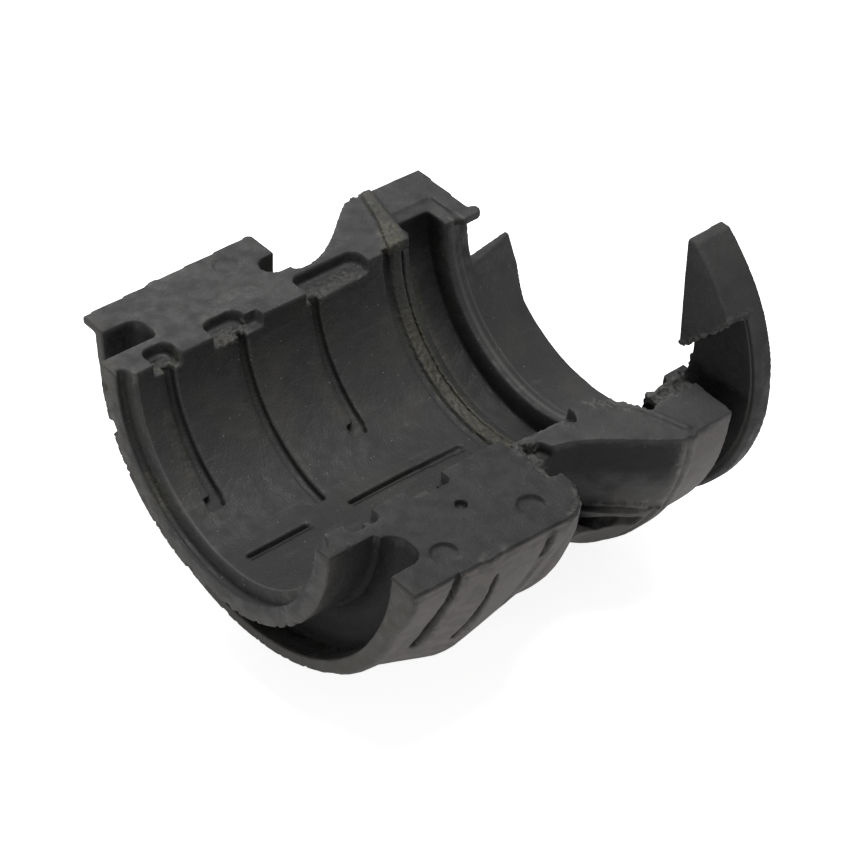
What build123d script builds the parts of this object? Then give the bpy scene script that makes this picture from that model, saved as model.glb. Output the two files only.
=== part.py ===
from build123d import *
from math import cos, radians, sin
import os

# Half of a split sway bar bushing: one moulded rubber shell, open side up.
# The bore runs along Y and the parting plane is Z = 0. The origin is on the bore axis,
# at the middle of the bar seat. The near end is at -Y, and all sizes are in millimetres.

# Bar seat and bore
bar_radius = 15.0
seat_length = 22.0
rim_length = 2.0
rim_relief = 0.9
rim_steps = (0.15, 0.25, 0.60, 0.85)
bead_groove_depth = 1.6
bell_entry_length = 12.0
bell_entry_relief = 0.6
shadow_groove_width = 1.2
shadow_groove_depth = 1.2

# Rib pair, wide channel and lip
rib_width = 3.3
rib_split = 0.4
rib_slope = 1.1
channel_width = 4.7
channel_depth = 4.1
lip_wall = 3.5
lip_relief = 0.9
lip_land = 1.2
lip_line_depth = 0.25
lip_line_width = 0.24

# Sleeve and end void
sleeve_overhang = 3.0
sleeve_wall = 3.4
void_gap = 4.5
void_depth = 4.3
void_outer_fillet = 1.4
void_inner_fillet = 1.8

# How far the outer body and the near sleeve sit off the bore axis
outer_shift = 0.35
sleeve_shift = -0.4

# Outer shell
flange_length = 22.5
shell_near_radius = 24.2
shell_rim_radius = 24.9
shell_rim_length = 0.8
shell_shoulder_radius = 25.1
shell_shoulder_offset = 3.0
shell_crown_radius = 27.1
shell_crown_offset = 9.0
shell_waist_radius = 25.6
band_rise = 0.3
band_width = 1.6
band_step = 0.5
band_inset = 1.2
valley_radius = 23.9
collar_radius = 25.8
ring_lead = 2.4
ridge_height = 0.4
ridge_width = 0.7
ridge_pitch = 1.2

# Flange plates in the parting plane
flange_near_overhang = 2.2
flange_far_overhang = 1.8
flange_thickness = 0.9
lip_shadow_height = 0.6
lip_shadow_depth = 0.7
left_corner_radius = 0.6
right_corner_radius = 3.6
notch_width = 2.9
notch_length = 2.8
notch_depth = 4.0
notch_offset = 5.7

# Side recesses of the neck
neck_wall = 4.05
neck_corner_radius = 0.7
neck_straight = 2.1
flare_points = ((6.3, 1.95), (9.45, 4.5))
ledge_drop = 10.6
ledge_width = 0.75
skin_edge = ((0.0, -0.3), (4.3, 0.8), (8.3, 3.0), (10.8, 1.6), (13.8, 0.0))
skin_wall = 0.8
slot_depth = 4.2

# Far sleeve, disc and arm
collar_skew = 0.052
disc_gap = 1.8
disc_thickness = 1.6
disc_rim_width = 0.7
disc_rim_inset = 0.35
disc_rim_height = 0.3
tail_length = 3.5
tail_wall = 1.0
tail_near_radius = 18.5
bell_far_radius = 18.6
tail_cut_drop = 7.1
tail_cut_drop_right = 6.3
tab_length = 1.3
tab_height = 3.2
tab_slope_height = 3.0
disc_radius = 21.4
disc_center = (5.35, -0.75)
arm_inner_x = 17.15
arm_lean = 0.7
arm_height = 16.2
arm_width = 8.3
arm_block_depth = 4.8
arm_round = 0.4
torn_edge_low = 3.4
torn_edge_high = 10.4
torn_lip_reach = 2.7
torn_lip_start = 5.0
torn_lip_angle = 33.0
stub_far_reach = 3.0

# Broken-out places, each outline as (out, along) from a corner of the part
rib_tear = ((-1.5, -0.7), (1.0, -0.1), (2.2, 1.1), (3.4, 1.6), (5.3, 2.6), (5.3, 3.7), (-1.5, 3.7))
rib_tear_depth = 2.2
neck_tear = ((-2.0, -0.5), (-0.7, -1.0), (0.8, -1.5), (3.1, -1.6), (3.4, 1.0), (0.3, 2.1), (-1.3, 1.5))
neck_tear_depth = 1.4
edge_nick = ((-1.0, -3.9), (2.3, -5.3), (2.7, -4.0), (1.6, -3.3), (-1.0, -3.3))
edge_nick_depth = 1.0
corner_tear = ((0.9, -3.6), (-0.9, -1.5), (-3.4, 0.2), (-3.4, 1.0), (0.9, 1.0))
corner_tear_depth = 1.5
pit_offset = 4.8
pit_station = 1.8
pit_radius = 0.6
pit_depth = 0.8

# Shallow pockets at the edge of the bore: reach, and both ends past the shell's near edge
left_pockets = ((2.7, 1.1, 4.5), (2.7, 8.7, 13.3), (1.2, 12.3, 15.0), (3.2, 20.8, 29.7))
right_pockets = ((1.7, 1.1, 4.5), (1.7, 8.7, 13.3), (1.7, 20.8, 29.7))
edge_pocket_depth = 1.5
corner_share = 0.4

# Small recesses and raised details
circle_groove_width = 1.2
circle_groove_depth = 1.0
groove_foot_length = 2.0
groove_foot_sweep = 6.0
groove_foot_shift = -0.6
short_groove_sweep = 63.0
long_groove_sweep = 84.0
right_groove_sweep = 50.0
first_groove_offset = 3.0
second_groove_offset = 12.3
third_groove_offset = 22.0
wide_slot_width = 0.6
slot_ridge_width = 0.25
thin_slot_width = 0.3
axial_slot_depth = 1.0
axial_slot_x = 0.4
slot_end_gap = 1.0
near_slot_length = 8.0
slot_groove_gap = 1.4
slot_rib_gap = 3.0
outer_groove_width = 1.0
outer_groove_depth = 1.0
outer_groove_ends = (
    ((5.3, 0.5), (1.5, 19.0)),
    ((10.1, 6.0), (7.9, 27.5)),
    ((18.5, 4.5), (16.0, 28.0)),
)
dimple_radius = 1.4
dimple_depth = 0.35
dimple_inset = 2.4
dimple_offset = 6.0
dimple_pitch = 11.0
step_reach = 1.55
step_depth = 0.3
torn_step_depth = 2.5
left_strip = ((0.0, 1.0, 3.0), (4.9, 2.8, 1.8), (9.8, 4.3, 1.4))
left_strip_height = 0.5
right_strip = ((1.6, 0.4, 0.7), (5.6, 2.7, 0.8), (9.9, 3.9, 0.7))
right_strip_height = 0.35
hook_height = 0.9
hook_width = 1.6
hook_reach = 0.8
hook_inset = 0.8
clearance = 1.0
cutter_margin = 5.0

# Stations along the bore
near_end = -seat_length / 2 - rim_length
seat_far = near_end + rim_length + seat_length
shell_near = near_end + sleeve_overhang
flange_far = shell_near + flange_length
rib_near = seat_far + bell_entry_length
rib_far = rib_near + rib_width
channel_far = rib_far + channel_width
collar_far = channel_far + lip_wall - lip_land / 2
disc_near = collar_far + disc_gap
gap_far = disc_near - disc_rim_height
disc_far = disc_near + disc_thickness
tail_far = disc_far + tail_length
tab_far = tail_far + tab_length

# Radii that follow from the walls
sleeve_radius = bar_radius + sleeve_wall
void_radius = sleeve_radius + void_gap
entry_radius = bar_radius + bell_entry_relief
lip_radius = bar_radius + lip_relief
channel_radius = bar_radius + channel_depth
neck_radius = bar_radius + neck_wall
tail_radius = bell_far_radius + tail_wall
band_radius = shell_waist_radius + band_rise
flange_near_half_width = shell_near_radius + flange_near_overhang
flange_far_half_width = shell_waist_radius + flange_far_overhang
cutter_radius = max(band_radius, shell_crown_radius, collar_radius, flange_far_half_width) + cutter_margin
left_collar_far = collar_far + collar_skew * channel_radius


def radial_plane(angle):
    # Plane through the bore axis whose X direction points `angle` degrees below +X.
    return Plane.XY.rotated((0, angle, 0))


def ring_segment(station, width, inner_radius, outer_radius, start, end):
    # Ring segment round the bore axis, from `start` to `end` degrees below +X.
    with BuildPart() as segment:
        with BuildSketch(radial_plane(start)):
            with Locations(((inner_radius + outer_radius) / 2, station)):
                Rectangle(outer_radius - inner_radius, width)
        revolve(axis=Axis.Y, revolution_arc=end - start)
    return segment.part


def upright_block(x_range, y_range, z_range):
    # Block between two ends along each axis.
    middle = (sum(x_range) / 2, sum(y_range) / 2)
    with BuildPart() as block:
        with BuildSketch(Plane.XY.offset(z_range[0])):
            with Locations(middle):
                Rectangle(abs(x_range[1] - x_range[0]), y_range[1] - y_range[0])
        extrude(amount=z_range[1] - z_range[0])
    return block.part


def outer_half():
    # Lower half turned about the bore axis, solid down to the axis.
    band_far = flange_far - band_inset
    band_near = band_far - band_width
    ring_near = rib_far - ring_lead
    valley_station = (band_far + ring_near) / 2
    with BuildPart() as body:
        with BuildSketch(Plane.XY):
            with BuildLine():
                Polyline(
                    (0, shell_near),
                    (shell_near_radius, shell_near),
                    (shell_rim_radius, shell_near + shell_rim_length),
                    (shell_shoulder_radius, shell_near + shell_shoulder_offset),
                    (shell_crown_radius, shell_near + shell_crown_offset),
                    (shell_waist_radius, band_near),
                    (band_radius, band_near + band_step),
                    (band_radius, band_far),
                )
                Spline(
                    (band_radius, band_far),
                    (valley_radius, valley_station),
                    (collar_radius, ring_near),
                )
                Polyline(
                    (collar_radius, ring_near),
                    (collar_radius, gap_far),
                    (tail_near_radius, gap_far),
                    (tail_radius, tab_far),
                    (0, tab_far),
                    (0, shell_near),
                )
            make_face()
        revolve(axis=Axis.Y, revolution_arc=180)
    return body.part.moved(Location((outer_shift, 0, 0)))


def near_sleeve(arc):
    # Thin sleeve round the bar, solid down to the axis and longer than the shell.
    with BuildPart() as sleeve:
        with BuildSketch(Plane.XY):
            with Locations((sleeve_radius / 2, (near_end + flange_far) / 2)):
                Rectangle(sleeve_radius, flange_far - near_end)
        revolve(axis=Axis.Y, revolution_arc=arc)
    return sleeve.part.moved(Location((sleeve_shift, 0, 0)))


def bore_cutter():
    # Inside of the bore: rim, bead groove, bar seat, rib pair, channel, lip and bell.
    groove_radius = bar_radius + bead_groove_depth
    shadow_radius = bar_radius + shadow_groove_depth
    shadow_near = rib_near - shadow_groove_width
    split_near = (rib_near + rib_far - rib_split) / 2
    split_far = split_near + rib_split
    rib_foot_radius = entry_radius + rib_slope
    steps = [near_end + share * rim_length for share in rim_steps]
    lip_middle = channel_far + lip_land / 2
    with BuildPart() as bore:
        with BuildSketch(Plane.XY):
            with BuildLine():
                Polyline(
                    (0, near_end - clearance),
                    (bar_radius + rim_relief, near_end - clearance),
                    (bar_radius + rim_relief, steps[0]),
                    (groove_radius, steps[1]),
                    (groove_radius, steps[2]),
                    (bar_radius, steps[3]),
                    (bar_radius, seat_far),
                    (entry_radius, shadow_near),
                    (shadow_radius, shadow_near),
                    (shadow_radius, rib_near),
                    (entry_radius, rib_near),
                    (entry_radius, split_near),
                    (rib_foot_radius, split_near),
                    (rib_foot_radius, split_far),
                    (entry_radius + rib_split, split_far),
                    (rib_foot_radius, rib_far),
                    (channel_radius, rib_far),
                    (channel_radius, channel_far),
                    (lip_radius, channel_far),
                    (lip_radius, lip_middle - lip_line_width / 2),
                    (lip_radius + lip_line_depth, lip_middle),
                    (lip_radius, lip_middle + lip_line_width / 2),
                    (lip_radius, channel_far + lip_land),
                    (bell_far_radius, tab_far),
                    (bell_far_radius, tab_far + clearance),
                    (0, tab_far + clearance),
                    close=True,
                )
            make_face()
        revolve(axis=Axis.Y)
    return bore.part


def end_void():
    # Space between the sleeve and the shell, open to the near end.
    void_far = shell_near + void_depth
    inner_start = (sleeve_radius, void_far - void_inner_fillet)
    inner_end = (sleeve_radius + void_inner_fillet, void_far)
    outer_start = (void_radius - void_outer_fillet, void_far)
    outer_end = (void_radius, void_far - void_outer_fillet)
    with BuildPart() as outer:
        with BuildSketch(Plane.XY):
            with BuildLine():
                Polyline((0, shell_near - clearance), (0, inner_start[1]), inner_start)
                RadiusArc(inner_start, inner_end, void_inner_fillet)
                Line(inner_end, outer_start)
                RadiusArc(outer_start, outer_end, void_outer_fillet)
                Polyline(outer_end, (void_radius, shell_near - clearance), (0, shell_near - clearance))
            make_face()
        revolve(axis=Axis.Y)
    with BuildPart() as void:
        add(outer.part.moved(Location((outer_shift, 0, 0))))
        add(near_sleeve(360), mode=Mode.SUBTRACT)
    return void.part


def neck_recess(inset, floor, outer_radius):
    # Scoop on both sides between flange and collar. The floor's points are (station, height).
    wall_radius = neck_radius + inset
    corner_start = (wall_radius + neck_corner_radius, flange_far)
    corner_end = (wall_radius, flange_far + neck_corner_radius)
    flare_start = (wall_radius, flange_far + neck_straight)
    flare_end = (collar_radius + 2 * ridge_height, rib_far - inset)
    flare_middle = [(wall_radius + out, flange_far + along - inset) for along, out in flare_points]
    with BuildPart() as scoop:
        with BuildSketch(Plane.XY):
            with BuildLine():
                Line((cutter_radius, flange_far), corner_start)
                RadiusArc(corner_start, corner_end, neck_corner_radius)
                Line(corner_end, flare_start)
                Spline(flare_start, *flare_middle, flare_end)
                Polyline(flare_end, (cutter_radius, rib_far - inset), (cutter_radius, flange_far))
            make_face()
        revolve(axis=Axis.Y)
        with BuildSketch(Plane.XZ.offset(-near_end)):
            Circle(outer_radius)
        extrude(amount=-(tab_far - near_end), mode=Mode.INTERSECT)
        with BuildSketch(Plane.YZ):
            with BuildLine():
                Polyline(*floor, (floor[-1][0], cutter_radius), (floor[0][0], cutter_radius), close=True)
            make_face()
        extrude(amount=cutter_radius, both=True, mode=Mode.INTERSECT)
    return scoop.part


def flange_plate(side):
    # Flat plate in the parting plane, a little wider towards the far end.
    near_corner = (outer_shift + side * flange_near_half_width, shell_near)
    far_corner = (outer_shift + side * flange_far_half_width, flange_far)
    with BuildPart() as plate:
        with BuildSketch(Plane.XY.offset(-flange_thickness)) as outline:
            with BuildLine():
                Polyline(
                    (side * bar_radius, shell_near),
                    near_corner,
                    far_corner,
                    (side * bar_radius, flange_far),
                    close=True,
                )
            make_face()
            far_corners = outline.vertices().group_by(Axis.Y)[-1].sort_by(Axis.X)
            if side < 0:
                fillet(far_corners[0], radius=left_corner_radius)
            else:
                fillet(far_corners[-1], radius=right_corner_radius)
        extrude(amount=flange_thickness)
    return plate.part


def flange_notch():
    # Round-ended notch in the far edge of the left plate.
    with BuildPart() as notch:
        with BuildSketch(Plane.XY.offset(-notch_depth)):
            with Locations((notch_offset - flange_far_half_width + outer_shift, flange_far)):
                SlotOverall(2 * notch_length, notch_width, rotation=90)
        extrude(amount=notch_depth)
    return notch.part


def behind_collar(x_range, z_range, far):
    # Block behind the collar. Its near face lies in the collar's far face, a little askew.
    near_edge = [(x, collar_far - collar_skew * x) for x in x_range]
    with BuildPart() as block:
        with BuildSketch(Plane.XY.offset(z_range[0])):
            with BuildLine():
                Polyline(*near_edge, (x_range[1], far), (x_range[0], far), close=True)
            make_face()
        extrude(amount=z_range[1] - z_range[0])
    return block.part


def collar_trim():
    # Gap between collar and disc, all round the tail.
    x_range = (-collar_radius - clearance, collar_radius + clearance)
    with BuildPart() as trim:
        add(behind_collar(x_range, (-cutter_radius, clearance), gap_far))
        with BuildSketch(Plane.XZ.offset(-rib_far)):
            with Locations((outer_shift, 0)):
                Circle(tail_near_radius)
        extrude(amount=-2 * cutter_radius, mode=Mode.SUBTRACT)
    return trim.part


def arm_side(bottom):
    # Inner edge of the arm: leans outwards towards the bottom.
    drop = arm_height - bottom
    return arm_inner_x + arm_lean * drop / (arm_height - torn_edge_low)


def far_disc():
    # Thin disc behind the collar, off the bore axis. It carries on upwards as the arm.
    with BuildPart() as disc:
        with BuildSketch(Plane.XZ.offset(-disc_near)):
            with Locations(disc_center):
                Circle(disc_radius)
            with BuildLine():
                Polyline(
                    (-cutter_radius, 0),
                    (arm_inner_x, 0),
                    (arm_inner_x, arm_height),
                    (cutter_radius, arm_height),
                    (cutter_radius, cutter_radius),
                    (-cutter_radius, cutter_radius),
                    close=True,
                )
            make_face(mode=Mode.SUBTRACT)
        extrude(amount=-disc_thickness)
        # Raised lip near the edge of the near face, below the tear
        with BuildSketch(Plane.XZ.offset(-disc_near)):
            with Locations(disc_center):
                Circle(disc_radius - disc_rim_inset)
                Circle(disc_radius - disc_rim_inset - disc_rim_width, mode=Mode.SUBTRACT)
            with Locations((0, torn_edge_high + cutter_radius)):
                Rectangle(4 * cutter_radius, 2 * cutter_radius, mode=Mode.SUBTRACT)
            with Locations((-cutter_radius, 0)):
                Rectangle(2 * cutter_radius, 2 * cutter_radius, mode=Mode.SUBTRACT)
        extrude(amount=disc_rim_height)
    return disc.part


# Lower edge of the arm's block, torn off: shares of the arm's width and of the tear's rise
torn_edge = (
    (0.00, 0.00),
    (0.09, 0.03),
    (0.17, 0.10),
    (0.24, 0.23),
    (0.35, 0.35),
    (0.42, 0.45),
    (0.56, 0.62),
    (0.64, 0.72),
    (0.68, 0.79),
    (0.715, 0.90),
    (1.00, 1.00),
)


def arm_block():
    # Thick tip of the arm. Its lower edge is torn off and stays that way.
    block_near = disc_far - arm_block_depth
    rise = torn_edge_high - torn_edge_low
    foot_x = arm_side(torn_edge_low)
    tear = [(foot_x + across * arm_width, torn_edge_low + up * rise) for across, up in torn_edge]
    with BuildPart() as block:
        with BuildSketch(Plane.XZ.offset(-block_near)) as outline:
            with Locations(disc_center):
                Circle(disc_radius)
            with BuildLine():
                Polyline(*tear, (tear[-1][0], arm_height), (arm_inner_x, arm_height), close=True)
            make_face(mode=Mode.INTERSECT)
            fillet(outline.vertices().group_by(Axis.Y)[-1], radius=arm_round)
        extrude(amount=-arm_block_depth)
        near_top = block.faces().sort_by(Axis.Y)[0].edges().group_by(Axis.Z)[-1]
        chamfer(near_top, length=arm_round / 2)
    return block.part


def axial_slots(start, end):
    # Wide and thin slot along the bottom of the bore, with a thin ridge left between them.
    thin_slot_x = axial_slot_x + wide_slot_width / 2 + slot_ridge_width + thin_slot_width / 2
    middle = (start + end) / 2
    with BuildPart() as slots:
        with BuildSketch(Plane.XY.offset(-bar_radius - axial_slot_depth)):
            with Locations((axial_slot_x, middle)):
                Rectangle(wide_slot_width, end - start)
            with Locations((thin_slot_x, middle)):
                Rectangle(thin_slot_width, end - start)
        extrude(amount=2 * axial_slot_depth)
    return slots.part


def edge_pocket(side, reach, start, end):
    # Shallow pocket in the parting plane at the edge of the bore.
    with BuildPart() as pocket:
        with BuildSketch(Plane.XY.offset(-edge_pocket_depth)):
            with Locations((side * (bar_radius + (reach - clearance) / 2), (start + end) / 2)):
                RectangleRounded(reach + clearance, end - start, corner_share * reach)
        extrude(amount=edge_pocket_depth)
    return pocket.part


def dimple(side, station):
    # Round shallow mark on a flange plate.
    with BuildPart() as mark:
        with BuildSketch(Plane.XY.offset(-dimple_depth)):
            with Locations((side * (flange_near_half_width - dimple_inset), station)):
                Circle(dimple_radius)
        extrude(amount=dimple_depth)
    return mark.part


def top_strip(side, spine, height):
    # End of the rib pair on the parting plane. The spine's points are (out, along, width).
    middle = [(side * (entry_radius + out), rib_near + along, width) for out, along, width in spine]
    near_side = [(x, y - width / 2) for x, y, width in middle]
    far_side = [(x, y + width / 2) for x, y, width in reversed(middle)]
    with BuildPart() as strip:
        with BuildSketch(Plane.XY.offset(-flange_thickness)):
            with BuildLine():
                Polyline(*near_side, *far_side, close=True)
            make_face()
        extrude(amount=flange_thickness + height)
    return strip.part


def torn_hollow(corner, outline, depth):
    # Broken-out place in the parting plane. The outline's points count from the corner.
    with BuildPart() as hollow:
        with BuildSketch(Plane.XY.offset(-depth)):
            with BuildLine():
                Polyline(*[(corner[0] + out, corner[1] + along) for out, along in outline], close=True)
            make_face()
        extrude(amount=depth + clearance)
    return hollow.part


def outer_groove(radius, start, end):
    # Straight groove across the outside. Both ends are (past the near edge, degrees below the plate).
    ends = []
    for along, angle in (start, end):
        out = radius * cos(radians(angle)) + outer_shift
        down = radius * sin(radians(angle))
        ends.append(Vector(out, shell_near + along, -down))
    middle = (ends[0] + ends[1]) * 0.5
    run = ends[1] - ends[0]
    outwards = Vector(middle.X - outer_shift, 0, middle.Z)
    with BuildPart() as groove:
        with BuildSketch(Plane(origin=middle, x_dir=run, z_dir=outwards)):
            SlotOverall(run.length, outer_groove_width)
        extrude(amount=outer_groove_depth, both=True)
    return groove.part


# Raised features that join the turned half
raised = [outer_half(), near_sleeve(180), far_disc(), arm_block()]
for side in (-1, 1):
    raised.append(flange_plate(side))
for station in (rib_far - ridge_pitch / 2, rib_far + ridge_pitch / 2):
    ridge = ring_segment(station, ridge_width, neck_radius, collar_radius + ridge_height, 0, 180)
    raised.append(ridge.moved(Location((outer_shift, 0, 0))))

# Floors of the neck recess: the ledge, the edge of the outer skin, and the slot between them
ledge_floor = [(flange_far, -ledge_drop), (rib_far, -ledge_drop)]
skin_floor = [(flange_far + along, -ledge_drop - drop) for along, drop in skin_edge]
slot_floor = [(station, height - slot_depth) for station, height in ledge_floor]

# Recesses, each cut once from the joined body
recesses = [
    bore_cutter(),
    end_void(),
    neck_recess(0, ledge_floor, cutter_radius),
    neck_recess(ledge_width, skin_floor, cutter_radius),
    neck_recess(ledge_width, slot_floor, valley_radius - skin_wall),
    flange_notch(),
    collar_trim(),
]

# Grooves round the bore, down from the parting plane. On the left the short ones end in a pocket.
bore_grooves = (
    (first_groove_offset, short_groove_sweep),
    (second_groove_offset, long_groove_sweep),
    (third_groove_offset, short_groove_sweep),
)
groove_radii = (bar_radius - clearance, bar_radius + circle_groove_depth)
for offset, sweep in bore_grooves:
    station = shell_near + offset
    left_end = 180 - sweep
    recesses.append(ring_segment(station, circle_groove_width, *groove_radii, left_end, 180))
    recesses.append(ring_segment(station, circle_groove_width, *groove_radii, 0, right_groove_sweep))
    if sweep == short_groove_sweep:
        foot_station = station + groove_foot_shift
        foot_range = (left_end - groove_foot_sweep / 2, left_end + groove_foot_sweep / 2)
        recesses.append(ring_segment(foot_station, groove_foot_length, *groove_radii, *foot_range))

# Slot pairs along the bottom of the bore
near_slot_start = shell_near + slot_end_gap
far_slot_start = shell_near + second_groove_offset + circle_groove_width / 2 + slot_groove_gap
recesses.append(axial_slots(near_slot_start, near_slot_start + near_slot_length))
recesses.append(axial_slots(far_slot_start, rib_near - slot_rib_gap))

# Grooves across the outside, slightly askew. They start under the flange plate.
for start, end in outer_groove_ends:
    recesses.append(outer_groove(shell_crown_radius, start, end))

# Shallow pockets at the edge of the bore
for side, pockets in ((-1, left_pockets), (1, right_pockets)):
    for reach, start, end in pockets:
        recesses.append(edge_pocket(side, reach, shell_near + start, shell_near + end))

for side in (-1, 1):
    for station in (shell_near + dimple_offset, shell_near + dimple_offset + dimple_pitch):
        recesses.append(dimple(side, station))
    # Shadow line right under the edge of the flange plate
    recesses.append(
        upright_block(
            sorted((side * (shell_crown_radius - lip_shadow_depth), side * cutter_radius)),
            (shell_near - clearance, flange_far + clearance),
            (-flange_thickness - lip_shadow_height, -flange_thickness),
        )
    )

# Step in the parting plane round the open end of the channel: whole on the left, torn on the right
step_outer = channel_radius + step_reach
step_far = channel_far + lip_wall / 2
recesses.append(
    upright_block((-step_outer, -bar_radius), (rib_far, step_far), (-step_depth, clearance))
)
recesses.append(
    upright_block((channel_radius, step_outer), (rib_far, disc_near), (-torn_step_depth, clearance))
)

# Cuts that leave the tail low at the top, with one tab on the left
beyond_tail = tab_far + clearance
recesses.append(behind_collar((-cutter_radius, 0), (-tail_cut_drop, clearance), beyond_tail))
recesses.append(
    upright_block(
        (0, tail_radius + clearance),
        (channel_far + stub_far_reach, disc_near),
        (-tail_cut_drop_right, clearance),
    )
)
recesses.append(
    upright_block((0, cutter_radius), (disc_far, beyond_tail), (-tail_cut_drop_right, clearance))
)
tab_foot = -tail_cut_drop - tab_height
recesses.append(upright_block((0, cutter_radius), (tail_far, beyond_tail), (tab_foot, clearance)))
with BuildPart() as rim_trim:
    with BuildSketch(Plane.YZ):
        with BuildLine():
            Polyline(
                (tail_far, tab_foot - tab_slope_height),
                (tab_far, tab_foot),
                (beyond_tail, tab_foot),
                (beyond_tail, -cutter_radius),
                (tail_far, -cutter_radius),
                close=True,
            )
        make_face()
    extrude(amount=cutter_radius, both=True)
recesses.append(rim_trim.part)

# Broken-out places on the right side of the parting plane
recesses.append(torn_hollow((entry_radius, rib_near), rib_tear, rib_tear_depth))
recesses.append(torn_hollow((neck_radius, flange_far), neck_tear, neck_tear_depth))
recesses.append(torn_hollow((bar_radius, rib_near), edge_nick, edge_nick_depth))
recesses.append(torn_hollow((flange_far_half_width, flange_far), corner_tear, corner_tear_depth))
with BuildPart() as pit:
    with BuildSketch(Plane.XY.offset(-pit_depth)):
        with Locations((bar_radius + pit_offset, pit_station)):
            Circle(pit_radius)
    extrude(amount=pit_depth)
recesses.append(pit.part)

# Torn gap in the lip, on the right below the parting plane
recesses.append(
    ring_segment(
        (channel_far + disc_near) / 2,
        disc_near - channel_far,
        bar_radius - clearance,
        bar_radius + torn_lip_reach,
        -torn_lip_start,
        torn_lip_angle,
    )
)

with BuildPart() as bushing_half:
    for piece in raised:
        add(piece)
    for piece in recesses:
        add(piece, mode=Mode.SUBTRACT)
    # Ends of the rib pair on the parting plane, wide on the left and narrow on the right
    add(top_strip(-1, left_strip, left_strip_height))
    add(top_strip(1, right_strip, right_strip_height))
    # Small hook at the top of the lip wall, on the left
    hook_far = left_collar_far + hook_reach
    with BuildSketch(Plane.XY.offset(-hook_height)):
        with Locations((-lip_radius + hook_inset - hook_width / 2, hook_far - hook_width)):
            RectangleRounded(hook_width, 2 * hook_width, corner_share * hook_width)
    extrude(amount=hook_height)

bushing_half.part.label = "bushing_half"
os.makedirs("parts", exist_ok=True)
export_step(bushing_half.part, "parts/bushing_half.step")
print("solids", len(bushing_half.part.solids()), "volume", round(bushing_half.part.volume))
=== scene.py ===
import math
import bpy
import bmesh
from mathutils import Matrix, Vector, noise


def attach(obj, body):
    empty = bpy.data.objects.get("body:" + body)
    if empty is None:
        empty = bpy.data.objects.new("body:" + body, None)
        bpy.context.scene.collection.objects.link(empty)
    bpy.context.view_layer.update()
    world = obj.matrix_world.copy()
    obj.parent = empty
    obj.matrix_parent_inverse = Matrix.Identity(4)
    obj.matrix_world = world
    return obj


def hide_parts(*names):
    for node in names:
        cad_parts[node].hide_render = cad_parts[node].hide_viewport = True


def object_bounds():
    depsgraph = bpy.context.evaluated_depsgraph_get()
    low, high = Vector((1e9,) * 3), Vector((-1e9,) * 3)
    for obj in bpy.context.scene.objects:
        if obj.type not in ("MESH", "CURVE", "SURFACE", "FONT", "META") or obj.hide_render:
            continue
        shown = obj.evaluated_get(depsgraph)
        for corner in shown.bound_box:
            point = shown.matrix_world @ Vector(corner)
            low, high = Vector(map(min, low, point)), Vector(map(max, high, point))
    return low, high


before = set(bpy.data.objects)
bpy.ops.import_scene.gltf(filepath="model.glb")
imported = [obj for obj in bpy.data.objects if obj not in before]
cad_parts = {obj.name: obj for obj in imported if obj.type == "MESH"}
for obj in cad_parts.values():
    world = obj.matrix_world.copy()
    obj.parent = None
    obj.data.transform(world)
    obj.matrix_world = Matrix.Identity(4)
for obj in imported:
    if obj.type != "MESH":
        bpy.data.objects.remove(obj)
cadLow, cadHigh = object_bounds()
print("frame loaded")

mm = 0.001


# camera: the photograph's view, found by fitting known edges
cameraView = {
    "place": (0.14754, -0.12150, 0.15878),
    "target": (0.00800, 0.00744, -0.00098),
    "lensMm": 105.83,
    "sensorMm": 36,
    "nearest": 0.01,
    "farthest": 20,
    "rollDegrees": -3.2,
}


def makeCamera(view):
    data = bpy.data.cameras.new("photoCamera")
    data.lens = view["lensMm"]
    data.sensor_width = view["sensorMm"]
    data.clip_start = view["nearest"]
    data.clip_end = view["farthest"]
    camera = bpy.data.objects.new("photoCamera", data)
    place = Vector(view["place"])
    aim = (Vector(view["target"]) - place).to_track_quat("-Z", "Y")
    roll = Matrix.Rotation(math.radians(-view["rollDegrees"]), 4, "Z")
    camera.matrix_world = Matrix.Translation(place) @ aim.to_matrix().to_4x4() @ roll
    bpy.context.scene.collection.objects.link(camera)
    bpy.context.scene.camera = camera


makeCamera(cameraView)
print("camera ready")


# studio: a white table, one large lamp overhead, a soft one low at the left and a weak one low in front
studio = {
    "worldLight": 0.14,
    "keyWatts": 3.5,
    "keyPlace": (0.0, 0.04, 0.62),
    "keySize": 0.34,
    "leftWatts": 0.55,
    "leftPlace": (-0.34, 0.14, 0.16),
    "leftSize": 0.25,
    "frontWatts": 1.0,
    "frontPlace": (0.10, -0.60, 0.09),
    "frontSize": 0.30,
    "tableColor": (0.80, 0.80, 0.80, 1),
    "tableGlow": 0.86,
    "tableShine": 0.20,
    "tableSize": 3.0,
    "tableDrop": 0.2 * mm,
}


def whiteForSharpRays(nodes, links, soft, seen, mirrored):
    path = nodes.new("ShaderNodeLightPath")
    sharp = nodes.new("ShaderNodeMath")
    sharp.operation = "MAXIMUM"
    links.new(path.outputs["Is Glossy Ray"], sharp.inputs[0])
    links.new(path.outputs["Is Transmission Ray"], sharp.inputs[1])
    first = nodes.new("ShaderNodeMixShader")
    links.new(sharp.outputs[0], first.inputs[0])
    links.new(soft, first.inputs[1])
    links.new(mirrored, first.inputs[2])
    second = nodes.new("ShaderNodeMixShader")
    links.new(path.outputs["Is Camera Ray"], second.inputs[0])
    links.new(first.outputs[0], second.inputs[1])
    links.new(seen, second.inputs[2])
    return second.outputs[0]


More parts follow.
